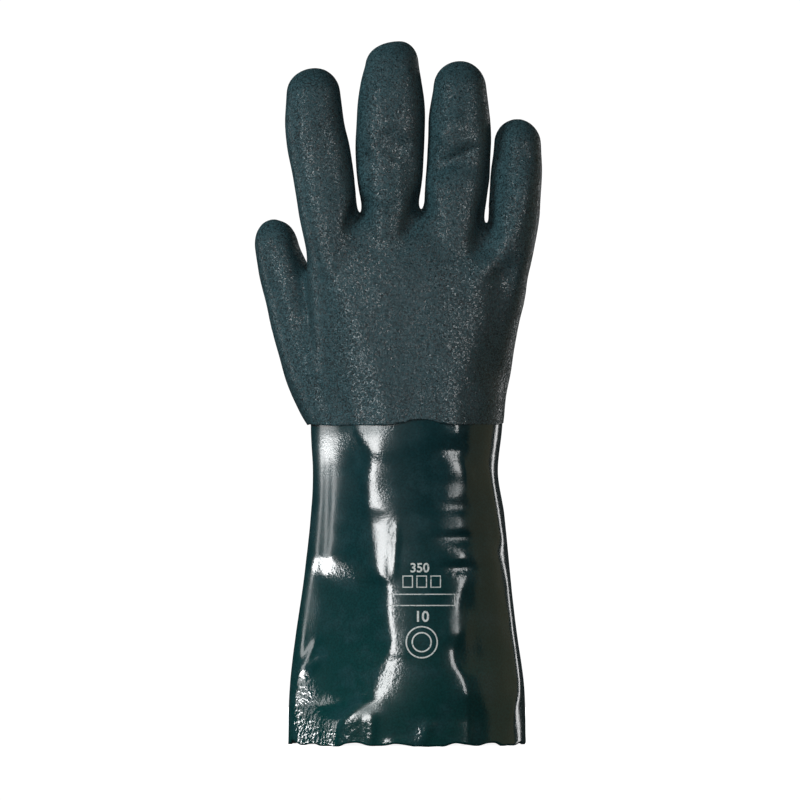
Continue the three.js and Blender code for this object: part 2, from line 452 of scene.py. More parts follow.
@dataclass(frozen=True)
class GritCoat(Finish):
    """PVC dipped while wet with crumb: dark grey green, speckled, with a glint on each grain."""

    process: ClassVar[str] = "pvc_grip_crumb_dipped"
    # The tone runs from the hollow colour to the crest colour. The dark end is partly each grain's
    # own darker tone and partly painted shade in the hollows between grains.
    hollow: str = "09171b"
    crest: str = "395960"
    shiny: float = 0.17  # roughness of the smoothest grains
    dull: float = 0.75  # roughness of the roughest grains
    gleam: float = 0.72  # the share of the usual gloss that the crumb leaves
    grain: float = 0.64  # mm from one grain to the next
    relief: float = 0.07  # mm from the hollows to the crests of the grains
    lean: float = 0.27  # the spread of the sines by which the grains' faces lean
    speckle: float = 0.72  # how far a grain's own shade may lighten it
    clouding: float = 0.3  # how far the clouds may
    cloud: float = 24.0  # mm across a place where the coat lies thicker or thinner

    def shader(self, node: NodeAdder) -> Node:
        """Add the finish's nodes and return its shader."""
        place = {"Vector": node("TexCoord").outputs["Object"]}
        # Grains of uneven size and shade, packed close, with finer crumb between them.
        grains = node("TexVoronoi", {"Scale": 1.0 / (self.grain * MM)}, place)
        fine = {"Scale": 1.1 / (self.grain * MM), "Detail": 3.0, "Roughness": 0.7}
        crumb = node("TexNoise", fine, place)
        height = node("Math", {"operation": "SUBTRACT"}, {0: crumb, 1: grains})
        bump = node("Bump", {"Strength": 1.0, "Distance": self.relief * MM}, {"Height": height})
        clouds = node("TexNoise", {"Scale": 1.0 / (self.cloud * MM), "Detail": 2.0}, place)
        shade = node("SeparateColor", {}, {0: grains.outputs["Color"]})
        # The grains' height is added to each grain's own random tone, so the hollows between grains
        # are painted darker and the crests lighter: painted shade and light.
        add = {"operation": "MULTIPLY_ADD", 1: self.speckle}
        speckle = node("Math", add, {0: shade, 2: height})
        clamped = {"operation": "MULTIPLY_ADD", 1: self.clouding, "use_clamp": True}
        tone = node("Math", clamped, {0: clouds, 2: speckle})
        colours = {"data_type": "RGBA", 6: linear(self.hollow), 7: linear(self.crest)}
        colour = node("Mix", colours, {0: tone}).outputs[2]
        # Each grain has a face that leans its own way, so that here and there one catches a light.
        middle = {"operation": "SUBTRACT", 1: (0.5, 0.5, 0.5)}
        centred = node("VectorMath", middle, {0: grains.outputs["Color"]})
        leaning = node("VectorMath", {"operation": "SCALE", "Scale": self.lean}, {0: centred})
        faces = node("VectorMath", {"operation": "ADD"}, {0: leaning, 1: bump})
        normal = node("VectorMath", {"operation": "NORMALIZE"}, {0: faces})
        spread = {"From Min": 0.1, "From Max": 0.6, "To Min": self.shiny, "To Max": self.dull}
        smooth = node("MapRange", spread, {"Value": shade.outputs[1]})
        return node(
            "BsdfPrincipled",
            {"IOR": 1.53, "Specular IOR Level": self.gleam * 0.5},
            {"Base Color": colour, "Roughness": smooth, "Normal": normal},
        )


@dataclass(frozen=True)
class GlossCoat(Finish):
    """Smooth dipped PVC that set in the air: dark teal green and wet-looking, pitted in places."""

    process: ClassVar[str] = "pvc_smooth_dipped"
    thick: str = "0a353a"
    thin: str = "083f3e"
    film: str = "24474d"  # lighter grey blue mixed into the colour in clouds: a painted sheen, standing in for soft reflections round the lights
    roughness: float = 0.135
    dull: float = 0.42  # roughness of the dullest places
    haze: float = 0.42  # roughness of the thin clear coat on top, which veils the lights' edges
    peel: float = 2.3  # mm from one dimple of the skin to the next
    relief: float = 0.60  # mm from a dimple to the skin round it, where it is pitted most
    stitch: float = 1.0  # mm from one stitch of the liner to the next
    stitch_relief: float = 0.022
    cloud: float = 11.0  # mm across a clouded place, where the stitches show more and the painted sheen lies
    thins_below: float = 120.0  # the height from which the coat thins towards the rim

    def shader(self, node: NodeAdder) -> Node:
        """Add the finish's nodes and return its shader."""
        coordinates = node("TexCoord").outputs["Object"]
        place = {"Vector": coordinates}
        pitted, dullness = (
            node("Attribute", {"attribute_name": name, "attribute_type": "GEOMETRY"}).outputs["Fac"]
            for name in (PITTED, DULLNESS)
        )
        wavy = {"Scale": 1.0 / (self.peel * MM), "Detail": 2.0, "Roughness": 0.5}
        dimples = node("TexNoise", wavy, place)
        depth = node("Math", {"operation": "MULTIPLY"}, {0: dimples, 1: pitted})
        pits = node("Bump", {"Strength": 1.0, "Distance": self.relief * MM}, {"Height": depth})
        stitches = node("TexNoise", {"Scale": 1.0 / (self.stitch * MM), "Detail": 1.0}, place)
        clouds = node("TexNoise", {"Scale": 1.0 / (self.cloud * MM), "Detail": 2.0}, place)
        roughness = {"To Min": self.roughness, "To Max": self.dull}
        dull = node("MapRange", roughness, {"Value": dullness})
        # The liner's stitches show through, most where the skin is clouded, and break up the gloss.
        clearer = {"From Min": 0.46, "From Max": 0.62, "To Min": 1.0, "To Max": 2.6}
        coarse = node("MapRange", clearer, {"Value": clouds})
        height = node("Math", {"operation": "MULTIPLY"}, {0: stitches, 1: coarse})
        fine = {"Strength": 1.0, "Distance": self.stitch_relief * MM}
        bump = node("Bump", fine, {"Height": height, "Normal": pits})
        # The coat is thinner and greener towards the rim, where less of it ran down.
        up = node("SeparateXYZ", {}, {0: coordinates}).outputs["Z"]
        falling = {"From Min": self.thins_below * MM, "From Max": 0.0}
        greener = node("MapRange", falling, {"Value": up})
        colours = {"data_type": "RGBA", 6: linear(self.thick), 7: linear(self.thin)}
        coat = node("Mix", colours, {0: greener}).outputs[2]
        # Lighter grey-blue clouds are mixed into the coat's colour: a painted sheen, in place of
        # soft reflections round the lights.
        painted_sheen_range = {"From Min": 0.48, "From Max": 0.72, "To Min": 0.0, "To Max": 0.6}
        painted_sheen_share = node("MapRange", painted_sheen_range, {"Value": clouds})
        film = {"data_type": "RGBA", 7: linear(self.film)}
        sheen_painted_coat = node("Mix", film, {0: painted_sheen_share, 6: coat}).outputs[2]
        # The stitches below shade the coat a little.
        shading = {"From Min": 0.35, "From Max": 0.65, "To Min": 0.74, "To Max": 1.04}
        shade = node("MapRange", shading, {"Value": stitches})
        multiplied = {"data_type": "RGBA", "blend_type": "MULTIPLY", 0: 1.0}
        colour = node("Mix", multiplied, {6: sheen_painted_coat, 7: shade}).outputs[2]
        return node(
            "BsdfPrincipled",
            {"IOR": 1.53, "Coat Weight": 0.1, "Coat Roughness": self.haze, "Coat IOR": 1.5},
            {"Base Color": colour, "Roughness": dull, "Normal": bump, "Coat Normal": bump},
        )


@dataclass(frozen=True)
class KnitLiner(Finish):
    """Interlock cotton, the liner that the coats are dipped on: dull, with fine ribs."""

    process: ClassVar[str] = "cotton_interlock_knit"
    yarn: str = "8f9a92"
    shadow: str = "55605b"
    wale: float = 1.4  # mm from one rib of stitches to the next
    relief: float = 0.3

    def shader(self, node: NodeAdder) -> Node:
        """Add the finish's nodes and return its shader."""
        place = {"Vector": node("TexCoord").outputs["Object"]}
        wave = {"Scale": WAVE_PERIOD / (self.wale * MM), "Distortion": 1.5}
        ribs, courses = (
            node("TexWave", {"bands_direction": axis, **wave}, place).outputs["Fac"]
            for axis in "XZ"
        )
        height = node("Math", {"operation": "MULTIPLY"}, {0: ribs, 1: courses})
        bump = node("Bump", {"Strength": 0.8, "Distance": self.relief * MM}, {"Height": height})
        colours = {"data_type": "RGBA", 6: linear(self.shadow), 7: linear(self.yarn)}
        colour = node("Mix", colours, {0: height}).outputs[2]
        dull = {"Roughness": 0.9, "IOR": 1.45}
        return node("BsdfPrincipled", dull, {"Base Color": colour, "Normal": bump})


@dataclass(frozen=True)
class PadPrint(Finish):
    """White vinyl ink, pad printed: flat and thin, with pinholes where the skin shows through."""

    process: ClassVar[str] = "vinyl_ink_pad_printed"
    ink: str = "dfe5e3"
    thin_ink: str = "7f9492"
    pinhole: float = 0.7  # mm from one pinhole to the next

    def shader(self, node: NodeAdder) -> Node:
        """Add the finish's nodes and return its shader."""
        place = {"Vector": node("TexCoord").outputs["Object"]}
        speckle = node("TexNoise", {"Scale": 1.0 / (self.pinhole * MM), "Detail": 1.0}, place)
        cover = node("MapRange", {"From Min": 0.30, "From Max": 0.42}, {"Value": speckle})
        colours = {"data_type": "RGBA", 6: linear(self.thin_ink), 7: linear(self.ink)}
        colour = node("Mix", colours, {0: cover}).outputs[2]
        return node("BsdfPrincipled", {"Roughness": 0.4, "IOR": 1.5}, {"Base Color": colour})


@dataclass(frozen=True)
class FloorPaper(Finish):
    """Pale studio paper, which glows enough to look as white as the surroundings."""

    process: ClassVar[str] = "floor_paper"
    pulp: str = "f4f4f4"
    glow: float = 0.95

    def shader(self, node: NodeAdder) -> Node:
        """Add the finish's nodes and return its shader."""
        paper = {"Base Color": linear(self.pulp), "Roughness": 0.9, "Specular IOR Level": 0.0}
        light = {"Emission Color": linear("ffffff"), "Emission Strength": self.glow}
        return node("BsdfPrincipled", paper | light)


def give_wall(obj: Object, coat: Finish, thickness: float) -> Modifier:
    """Thicken a skin inwards into a wall, coated outside and knitted inside.

    Args:
        obj: The skin's object, still without a material.
        coat: The finish of its outer face.
        thickness: The wall, in mm.

    Returns:
        The modifier that makes the wall.
    """
    for finish in (coat, KnitLiner()):
        obj.data.materials.append(finish.material())
    wall = obj.modifiers.new("wall", "SOLIDIFY")
    wall.thickness = thickness * MM
    wall.offset = -1.0
    wall.material_offset = 1
    return wall


# The cuff's level sections, from the rim to the wrist and on under the grip coat.
CUFF_SECTIONS = (
    Section(0, -59.4, 58.9, 0, 85),
    Section(30, -58.4, 58, 0, 84),
    Section(58, -55, 54, 0, 79),
    Section(86, -51, 51, 0, 73),
    Section(114, -48, 48.2, 0, 68.5),
    Section(135, -47, 45, 0, 66),
    Section(156, -48, 47, 0, 66),
    Section(170, -47.6, 48.2, 0, 62),
)

# The cuff's smaller folds, wrinkles and hollows, and all of the palm side's.
CUFF_CREASES = (
    # The short second line beside the left ridge, where it forks above the print.
    Crease(BACK, ((-5, 112), (-5.6, 102), (-6.2, 92), (-6.6, 82)), 1.6, 0.36, 0.3),
    # A low step across the left ridge, which breaks it up.
    Crease(BACK, ((-14, 47.5), (4, 47)), 4, 0.45, 0.3),
    # Low steps across the right ridge.
    Crease(BACK, ((14, 136), (26, 134.5), (34, 135)), 5, 0.45, 0.3),
    Crease(BACK, ((14, 124), (26, 122), (34, 123)), 4.5, 0.25, 0.3),
    Crease(BACK, ((8, 107), (22, 105), (36, 106)), 5.5, 0.3, 0.3),
    Crease(BACK, ((14, 93), (26, 93), (38, 96)), 4.2, 0.24, 0.3),
    Crease(BACK, ((15, 58), (34, 56)), 6.5, 0.6, 0.3),
    # Small dents near the rim.
    Crease(BACK, ((13, 14), (9, 7), (3, -2)), 3, 0.6, 0.3),
    Crease(BACK, ((-12, 3), (-4, 1.5), (4, 2)), 2.2, 0.5, 0.35),
    Crease(BACK, ((-17.5, 18), (-18, 8), (-19, -6)), 2.6, 0.45, 0.3),
    # The soft double band at the left side, and the small wrinkles below it.
    Crease(BACK, ((-40.4, 156), (-40.2, 130), (-41, 104), (-43, 80)), 2.6, -0.5, 0.3),
    Crease(BACK, ((-56, 37), (-51, 40), (-46, 48), (-44, 55)), 2.4, 0.6, 0.3),
    Crease(BACK, ((-55, 34), (-49, 38), (-43, 43), (-39, 45)), 2.4, 0.7, 0.3),
    # The right side's long soft fold, with its bend near the rim.
    Crease(BACK, ((41, 142), (43, 122), (46, 106), (50, 96)), 3, 0.7, 0.3),
    Crease(BACK, ((46, 96), (50, 82), (52, 60), (55, 30), (52, 18), (51, 4)), 2.8, 0.7, 0.25),
    # The palm side.
    Crease(PALM, ((6, 168), (8, 120), (12, 80), (15, 40), (18, -14)), 8, 1.4, 0.15),
    Crease(PALM, ((-20, 166), (-18, 120), (-24, 90), (-22, 60)), 7, 1.2, 0.25),
    Crease(PALM, ((-26, 86), (-30, 50), (-28, 24), (-33, -14)), 7, 1.3, 0.25),
    Crease(PALM, ((-6, 150), (-5, 90), (-8, 20)), 9, -1, 0.3),
    Crease(PALM, ((30, 140), (29, 90), (34, 50), (36, 0)), 9, -1.1, 0.25),
    Crease(PALM, ((38, 112), (28, 101), (16, 97)), 4, 0.8, 0.35),
    Crease(PALM, ((-44, 136), (-46, 90), (-50, 30)), 4, 0.7, 0.3),
    Crease(PALM, ((44, 74), (47, 40), (50, 0)), 4.5, 0.8, 0.3),
)

# The places on the cuff's back where the skin is pitted or dull.
CUFF_FLAWS = (
    # Coarse pits by the rim, and a few finer ones at the left side.
    Flaw(-50.5, 14, 8, 19, 1, 0),
    Flaw(-28.5, 6, 5, 11, 0.42, 0),
    Flaw(-39.5, 6, 5, 12, 1, 0),
    Flaw(-39, 22, 6, 3.5, 0.6, 0.2),
    Flaw(-43, 91, 6, 5, 0.3, 0.3),
    Flaw(-18.3, 8, 3, 7, 0.6, 0.1),
    Flaw(-3.8, 1, 8, 3, 0.7, 0),
    Flaw(7.3, 7, 4, 5, 0.6, 0),
    # Finer unevenness along the two ridges.
    Flaw(-11, 36, 7, 13, 0.3, 0.1),
    Flaw(21.8, 146, 6, 7, 0.28, 0.12),
    Flaw(22.9, 119, 7, 6, 0.34, 0.55),
    Flaw(21.2, 101, 10, 6, 0.4, 0.5),
    Flaw(24.6, 88, 8, 5, 0.28, 0.1),
    Flaw(-24, 152, 6, 8, 0.3, 0.25),
    Flaw(-20, 158, 9, 5.5, 0.15, 0.6),
    Flaw(-7.5, 106, 4, 10, 0.28, 0.25),
    # Dull places.
    Flaw(24, 110, 9, 5, 0, 0.6),
    Flaw(25, 127, 6, 4, 0, 0.5),
    Flaw(24.5, 62, 5, 6, 0, 0.5),
    Flaw(-22, 19, 8, 3.5, 0, 0.8),
    Flaw(-49, 70, 5, 15, 0, 0.6),
    Flaw(-42, 140, 9, 22, 0, 0.5),
    Flaw(-42, 106, 8, 16, 0.08, 0.4),
)

# The places of the cuff's two long ridges, from the rim up to under the hem.
CUFF_TURNS = (
    Turns(0, -33.5, -24, 28.9, 29.1, 43.5, 62),
    Turns(4, -32.6, -25, 28.9, 29.1, 43.5, 62),
    Turns(9, -31.2, -26.6, 28.9, 29.1, 43.5, 62),
    Turns(13, -29.4, -27.6, 28.9, 29.1, 43.5, 62),
    Turns(17, -25.4, -24, 28.9, 29.1, 43.5, 62),
    Turns(21, -20.6, -18.6, 28.9, 29.1, 43.5, 61),
    Turns(25, -17, -12.4, 28.8, 29.1, 43.5, 61),
    Turns(30, -15.5, -8.3, 27.7, 28.2, 43.5, 60),
    Turns(35, -13.3, -6.6, 25.7, 26.7, 43, 60),
    Turns(41, -11, -4.9, 22.3, 23.2, 42, 60),
    Turns(47, -8.6, -4.8, 21.3, 22.3, 40, 60),
    Turns(51, -7.2, -6.6, 22.4, 23.6, 39, 60),
    Turns(56, -7.9, -6, 23.6, 25, 39, 60),
    Turns(62, -8.9, -7.2, 24.4, 24.8, 39, 60),
    Turns(68, -9.4, -7.7, 24.2, 25, 39, 60),
    Turns(74, -9.3, -7.9, 24.6, 26, 39, 60),
    Turns(79, -9.6, -8.2, 25.7, 27.2, 39, 60),
    Turns(84, -13, -11.6, 24.6, 29.8, 40, 60),
    Turns(88, -14.7, -11.4, 21.5, 30.4, 43, 60),
    Turns(93, -15.6, -10.8, 26.4, 28.4, 47.5, 60),
    Turns(98, -16.2, -9, 23.6, 27.6, 48, 59),
    Turns(103, -16.8, -8.2, 18, 28.2, 48, 58),
    Turns(108, -17.4, -9, 25.2, 26.6, 48, 57),
    Turns(113, -18, -10.8, 25, 26.2, 48, 57),
    Turns(118, -18.4, -12.6, 20, 26.4, 48, 57),
    Turns(124, -18.8, -14.2, 23.2, 26.4, 48, 57),
    Turns(129, -19.2, -15.3, 23.4, 27.2, 48, 57),
    Turns(134, -18.9, -15.9, 23.4, 27, 48, 57),
    Turns(139, -17.9, -15, 23.4, 26.2, 48, 57),
    Turns(146, -18.2, -14, 19, 25.4, 48, 57),
    Turns(150, -20.4, -13.1, 21, 25.2, 48, 57),
    Turns(155, -23, -12.7, 24.2, 24.8, 48, 57),
    Turns(170, -25, -12.7, 24.2, 24.8, 48, 57),
)


@dataclass
class Profile:
    """A level line round the back of the cuff: a chain of arcs that run smoothly into each other.

    The sine of the angle at which the line faces right is linear along each arc's x.
    """

    xs: np.ndarray
    sines: np.ndarray
    front: float  # the lowest y of the line

    def drops(self) -> np.ndarray:
        """Return how far the line falls towards +Y from its first place to each place."""
        cosines = np.sqrt(1 - self.sines**2)
        radii = np.diff(self.xs) / np.diff(self.sines)
        return np.concatenate(([0.0], np.cumsum(radii * (cosines[:-1] - cosines[1:]))))

    def y_at(self, x: float) -> float:
        """Return the line's y at an x, in mm."""
        drops = self.drops()
        i = int(np.clip(np.searchsorted(self.xs, x) - 1, 0, len(self.xs) - 2))
        radius = (self.xs[i + 1] - self.xs[i]) / (self.sines[i + 1] - self.sines[i])
        sine = self.sines[i] + (x - self.xs[i]) / radius
        cosine = math.sqrt(max(0.0, 1 - sine**2))
        start = math.sqrt(max(0.0, 1 - self.sines[i] ** 2))
        return self.front + drops[i] - drops.min() + radius * (start - cosine)


@dataclass
class CuffBack:
    """The shape of the cuff's back: flatter faces between two long soft ridges."""

    sections: tuple[Section, ...] = CUFF_SECTIONS
    turns: tuple[Turns, ...] = CUFF_TURNS
    left_facing: tuple[float, float] = (-15.6, -8.4)  # the left ridge's edges, in degrees
    right_facing: tuple[float, float] = (15.0, 22.0)
    side_inset: tuple[float, float] = (5.2, 5.0)  # from the outline's edges to the sides' angles
    shoulder: tuple[float, float] = (7.0, 2.0)  # degrees more, this far outside each ridge
    tilt_steps: int = 24  # halvings to find the outer faces' tilt
    closing: float = 0.55  # the share of the half width from which the line is led to the edge
    outset_depth: float = 12.0  # the distance from the edge over which the outset grows
    profiles: dict[float, Profile] = field(default_factory=dict)

    def profile(self, z: float) -> Profile:
        """Return the level line at a height, with its outer faces tilted so that it closes.

        Heights that agree to 0.1 mm share one line.
        """
        key = round(z, 1)
        if key not in self.profiles:
            section, turns = row_at(self.sections, z), row_at(self.turns, z)
            left, right = (self._side(section, turns, hand) for hand in (-1, 1))
            xs, sines = (np.concatenate((a, b[-2::-1])) for a, b in zip(left, right))
            self.profiles[key] = Profile(xs, sines, section.middle - section.depth / 2)
        return self.profiles[key]

    def _side(self, section: Section, turns: Turns, hand: int) -> tuple[np.ndarray, np.ndarray]:
        """Return one half of a level line, from the outline's edge to the middle.

        Args:
            section: The level section.
            turns: The ridges' places at its height.
            hand: The half's side, -1 for the left and 1 for the right.

        Returns:
            The places' xs and the sines of the angles that the line faces there.
        """
        if hand < 0:
            edge, side, (start, end) = section.left, turns.left_side, self.left_facing
            outer, inner = turns.left_start, turns.left_end
        else:
            edge, side, (end, start) = section.right, turns.right_side, self.right_facing
            outer, inner = turns.right_end, turns.right_start
        middle = (turns.left_end + turns.right_start) / 2
        rim = edge - hand * self.side_inset[hand > 0]
        tilted = (rim + outer * 4) / 5  # where the outer face's tilt holds
        turn, bend = self.shoulder
        xs = np.array([edge, rim, tilted, outer + hand * bend, outer, inner, middle])
        low, high = abs(start) + turn, side
        for _ in range(self.tilt_steps):
            tilt = (low + high) / 2
            outwards = [90 * hand, side * hand, tilt * hand, start + turn * hand]
            sines = np.sin(np.radians([*outwards, start, end, 0.0]))
            if abs(Profile(xs, sines, 0.0).drops()[-1]) < section.depth / 2:
                low = tilt
            else:
                high = tilt
        return xs, sines

    def shifted(self, point: Vector, share: float, outset: float = 0.0) -> Vector:
        """Move a point of the plain tube's back onto the real shape.

        Args:
            point: The point, in mm.
            share: The share of the way that it is moved.
            outset: How far outside the cuff the real shape lies there, in mm.

        Returns:
            The moved point.
        """
        section = row_at(self.sections, point.z)
        if point.y >= section.middle or share <= 0.0:
            return point
        profile = self.profile(point.z)
        x = min(max(point.x, section.left), section.right)
        y = profile.y_at(x)
        edge = profile.y_at(section.left if x < 0 else section.right)
        y -= (edge - section.middle) * smoothstep(self.closing, 1.0, abs(x) / abs(section.left))
        y = min(y, section.middle)
        y -= outset * smoothstep(0.0, self.outset_depth, section.middle - y)
        return Vector((point.x, lerp(point.y, y, share), point.z))


@dataclass
class SmoothCuff:
    """The smooth cuff: one tube, open at the wavy rim and under the hem of the grip coat."""

    back: CuffBack
    creases: tuple[Crease, ...] = CUFF_CREASES
    flaws: tuple[Flaw, ...] = CUFF_FLAWS
    top: float = 162.5  # the coat's edge that the grip coat covers
    wall: float = 1.6
    squareness: float = 2.15
    faces: tuple[int, int] = (280, 130)  # round the cuff and along it
    ripples: tuple[Ripple, ...] = (Ripple(15, 1.008, 0.6), Ripple(7, 0.896, 2.1))
    ripple_lift: float = 0.392  # how far the ripples' middle lies above the rim's low stretches
    snips: Ripple = Ripple(41, 0.12)  # the trimming's small steps
    rim_fade: float = 20.0  # height over which the rim's ripples die out
    smooth_from: float = 158.0  # the height under the hem above which there are no folds
    wrist_fade: float = 8.0  # depth below that over which the folds grow
    swells: tuple[tuple[float, float], ...] = ((22.0, 0.16), (8.0, 0.05))  # wave and height

    def rim_height(self, turn: float) -> float:
        """Return how high the trimmed rim lies above the floor at a turn, in mm."""
        angle = turn * math.tau
        wave = self.ripple_lift + sum(ripple.at(angle) for ripple in self.ripples)
        return max(0.0, wave) + self.snips.at(angle) + self.snips.height

    def place(self, turn: float, share: float) -> Vector:
        """Return a point of the cuff's outer face, in mm, for a turn and a share of its height."""
        z = share * self.top
        section = row_at(self.back.sections, z)
        point = self.back.shifted(on_section(section, turn, self.squareness), 1.0)
        point.z += self.rim_height(turn) * max(0.0, 1 - z / self.rim_fade)
        return point

    def build(self) -> Object:
        """Return the finished piece."""
        bm = bmesh.new()
        add_tube(bm, *self.faces, self.place)
        bmesh.ops.recalc_face_normals(bm, faces=bm.faces)
        folded_to = self.smooth_from - self.wrist_fade
        sculpt(bm, self.creases, lambda z: 1 - smoothstep(folded_to, self.smooth_from, z))
        for wave, height in self.swells:
            roughen(bm, wave, height)
        pitted = bm.verts.layers.float.new(PITTED)
        dullness = bm.verts.layers.float.new(DULLNESS)
        for vert in bm.verts:
            x, y, z = vert.co / MM
            for flaw in self.flaws if y < 0 else ():
                fade = flaw.fade(x, z)
                vert[pitted] = max(vert[pitted], flaw.pitted * fade)
                vert[dullness] = max(vert[dullness], flaw.dull * fade)
        obj = mesh_object(CUFF_SKIN, bm)
        give_wall(obj, GlossCoat(), self.wall)
        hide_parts("smooth_cuff")
        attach(obj, "root")
        return obj


# The palm's level sections, from under the hem to the finger roots.
PALM_SECTIONS = (
    Section(148, -47.6, 46.6, 0, 66),
    Section(156, -48, 47, 0, 66),
    Section(170, -47.6, 48.2, 0, 62),
    Section(184, -47.4, 50.6, 0, 58),
    Section(198, -47.5, 52.8, 0, 54),
    Section(212, -47.9, 55.2, 0, 49.5),
    Section(226, -48.7, 57.6, -0.5, 44.5),
    Section(240, -49.6, 59, -1, 38),
    Section(252, -49.2, 58, -1, 30.5),
    Section(260, -47, 55, -0.5, 24.5),
)


@dataclass(frozen=True)
class Digit:
    """A finger or the thumb: a tube of level sections that ends in a round tip.

    The spread is how far the finger is moved aside, in mm, while the hand is fused into one skin.
    The lean is how far the crown of the tip lies to the right of the highest section's middle.
    """

    name: str
    tip: float
    spread: float
    lean: float
    sections: tuple[Section, ...]


# The four fingers and the thumb.
DIGITS = (
    Digit("index", 336.4, -4.5, 1.5, (
        Section(232, -47.5, -22, -4.5, 28),
        Section(252, -51.6, -22.6, -3.2, 29),
        Section(267, -54.5, -25.1, -1.3, 28),
        Section(285, -57.4, -26.9, 1.5, 26),
        Section(297, -59.9, -28.8, 3, 26),
        Section(309, -60.9, -31.6, 4.8, 25),
        Section(323, -60.2, -33.5, 7.5, 23),
    )),
    Digit("middle", 350, -1.5, 4.0, (
        Section(232, -19.5, 3.5, -5, 29),
        Section(252, -21.5, 4.5, -3.6, 30),
        Section(267, -22.6, 5.2, -1.4, 28.5),
        Section(280, -24.8, 7.2, 1.2, 27),
        Section(293, -25.8, 8.1, 3.6, 26),
        Section(306, -25.5, 8.7, 4.2, 27.5),
        Section(319, -24.7, 8.4, 6, 26.5),
        Section(329, -23.2, 7, 8, 25),
        Section(338, -20.8, 5.4, 10, 23),
    )),
    Digit("ring", 340, 1.5, 0.0, (
        Section(228, 12, 34.5, -5, 28),
        Section(248, 9, 37.5, -3.6, 29),
        Section(264, 8.4, 38.5, -1.3, 28),
        Section(279, 9, 40.4, 1.2, 26.5),
        Section(289, 9.7, 41.1, 3.8, 24.5),
        Section(299, 10.2, 41.5, 3.8, 26.5),
        Section(312, 10.7, 41, 5.5, 26),
        Section(326, 13, 39.2, 8.5, 24),
    )),
    Digit("little", 311, 4.5, 0.0, (
        Section(218, 38, 55.5, -3.2, 24),
        Section(240, 38.6, 61.8, -2.4, 26),
        Section(258, 39.9, 64.9, -1, 25.5),
        Section(273, 40.8, 66.4, 1, 24),
        Section(285, 41.7, 66.8, 3.2, 22.5),
        Section(298, 43.2, 66.4, 6.2, 21.5),
    )),
    Digit("thumb", 261.5, -4.5, -2.0, (
        Section(152, -46.6, -14, 5, 50),
        Section(156, -48.2, -14, 5, 52),
        Section(163, -52.4, -14, 6, 50),
        Section(177, -58.9, -17, 8, 47),
        Section(191, -63.4, -23, 10.5, 40),
        Section(205, -67.3, -31, 13.5, 33.5),
        Section(219, -70.3, -39.5, 16, 29),
        Section(233, -73.8, -46.8, 17.5, 26.5),
        Section(248, -76.4, -54.4, 18.5, 24),
    )),
)

# The hand's ridges, hollows and wrinkles.
HAND_CREASES = (
    # Valleys that run down from the webs between the fingers onto the back of the hand.
    Crease(BACK, ((-22, 280), (-23, 267), (-28, 259), (-33, 249)), 3.8, -2.1, 0.35),
    Crease(BACK, ((7, 280), (6, 267), (2, 259), (-3, 249)), 4.2, -2, 0.35),
    Crease(BACK, ((41, 274), (39.5, 261), (37.5, 252), (33, 240)), 4.4, -2.3, 0.3),
    # Ridges that run down from the fingers onto the back of the hand.
    Crease(BACK, ((-27, 280), (-31, 264), (-31, 248)), 3.4, 0.7, 0.35),
    Crease(BACK, ((-14, 270), (-15, 260), (-14, 249)), 6, 1.1, 0.35),
    Crease(
        BACK,
        ((60, 292), (58.7, 280), (56, 265), (51.6, 254), (48, 244), (41, 237), (27, 224)),
        5.0, 1.8, 0.2,
    ),
    Crease(BACK, ((46, 312), (47, 300), (44.5, 284), (42.5, 264)), 5, -2.2, 0.25),
    # The long break of the back, from the index finger's root to the wrist, and its fellows.
    Crease(
        BACK,
        ((-40, 246), (-30, 216), (-22, 198), (-16, 181), (-12, 168), (-10, 150)),
        6.0, 0.9, 0.15,
    ),
    Crease(BACK, ((-44, 214), (-44, 196), (-43, 172)), 5, 0.7, 0.35),
    Crease(BACK, ((52, 246), (47, 222), (44, 196), (43, 170)), 9, -2, 0.25),
    Crease(BACK, ((8, 228), (14, 212), (22, 196), (24, 176), (23, 150)), 8, 0.5, 0.2),
    Crease(BACK, ((-3, 226), (-1, 200), (3, 168)), 10, -0.4, 0.3),
    # Dents and creases of the fingers and the thumb.
    Crease(BACK, ((12, 283), (24, 291), (37, 298)), 3.2, -1.2, 0.3),
    Crease(BACK, ((14, 300), (21, 306), (29, 310)), 5, 1.1, 0.3),
    Crease(BACK, ((13, 284), (14.5, 272), (15, 260)), 3.2, 0.7, 0.35),
    Crease(BACK, ((-20, 301), (-15, 294), (-7, 285)), 4, 1, 0.3),
    Crease(BACK, ((-12, 306), (-6, 299), (1, 293)), 5, -1.1, 0.3),
    Crease(BACK, ((0, 296), (1, 282), (-1, 266)), 4, -0.8, 0.35),
    Crease(BACK, ((-64, 254), (-61, 238), (-59, 224), (-54, 204)), 4.8, 1.2, 0.25),
    # Creases of the palm and of the fingers' inner sides.
    Crease(PALM, ((-48, 236), (-20, 238), (20, 244), (46, 240)), 3.2, -1.4, 0.15),
    Crease(PALM, ((-46, 226), (-20, 218), (6, 208), (32, 198)), 3.2, -1.3, 0.15),
    Crease(PALM, ((-42, 226), (-24, 212), (-12, 192), (-8, 160)), 3.6, -1.6, 0.15),
    Crease(PALM, ((-56, 281), (-41, 283), (-26, 281)), 2.2, -1.1, 0.1),
    Crease(PALM, ((-26, 286), (-9, 289), (8, 286)), 2.2, -1.1, 0.1),
    Crease(PALM, ((8, 283), (25, 286), (42, 283)), 2.2, -1.1, 0.1),
    Crease(PALM, ((40, 272), (54, 275), (68, 272)), 2, -1, 0.1),
    Crease(PALM, ((-60, 305), (-46, 307), (-32, 305)), 2, -0.9, 0.1),
    Crease(PALM, ((-26, 312), (-9, 314), (9, 312)), 2, -0.9, 0.1),
    Crease(PALM, ((9, 307), (25, 309), (42, 307)), 2, -0.9, 0.1),
    Crease(PALM, ((22, 234), (36, 220), (44, 200)), 9, 1.2, 0.3),
    Crease(PALM, ((-30, 250), (0, 253), (34, 250)), 6, 0.8, 0.2),
    Crease(PALM, ((10, 222), (10, 200), (8, 174)), 10, -1.2, 0.3),
)

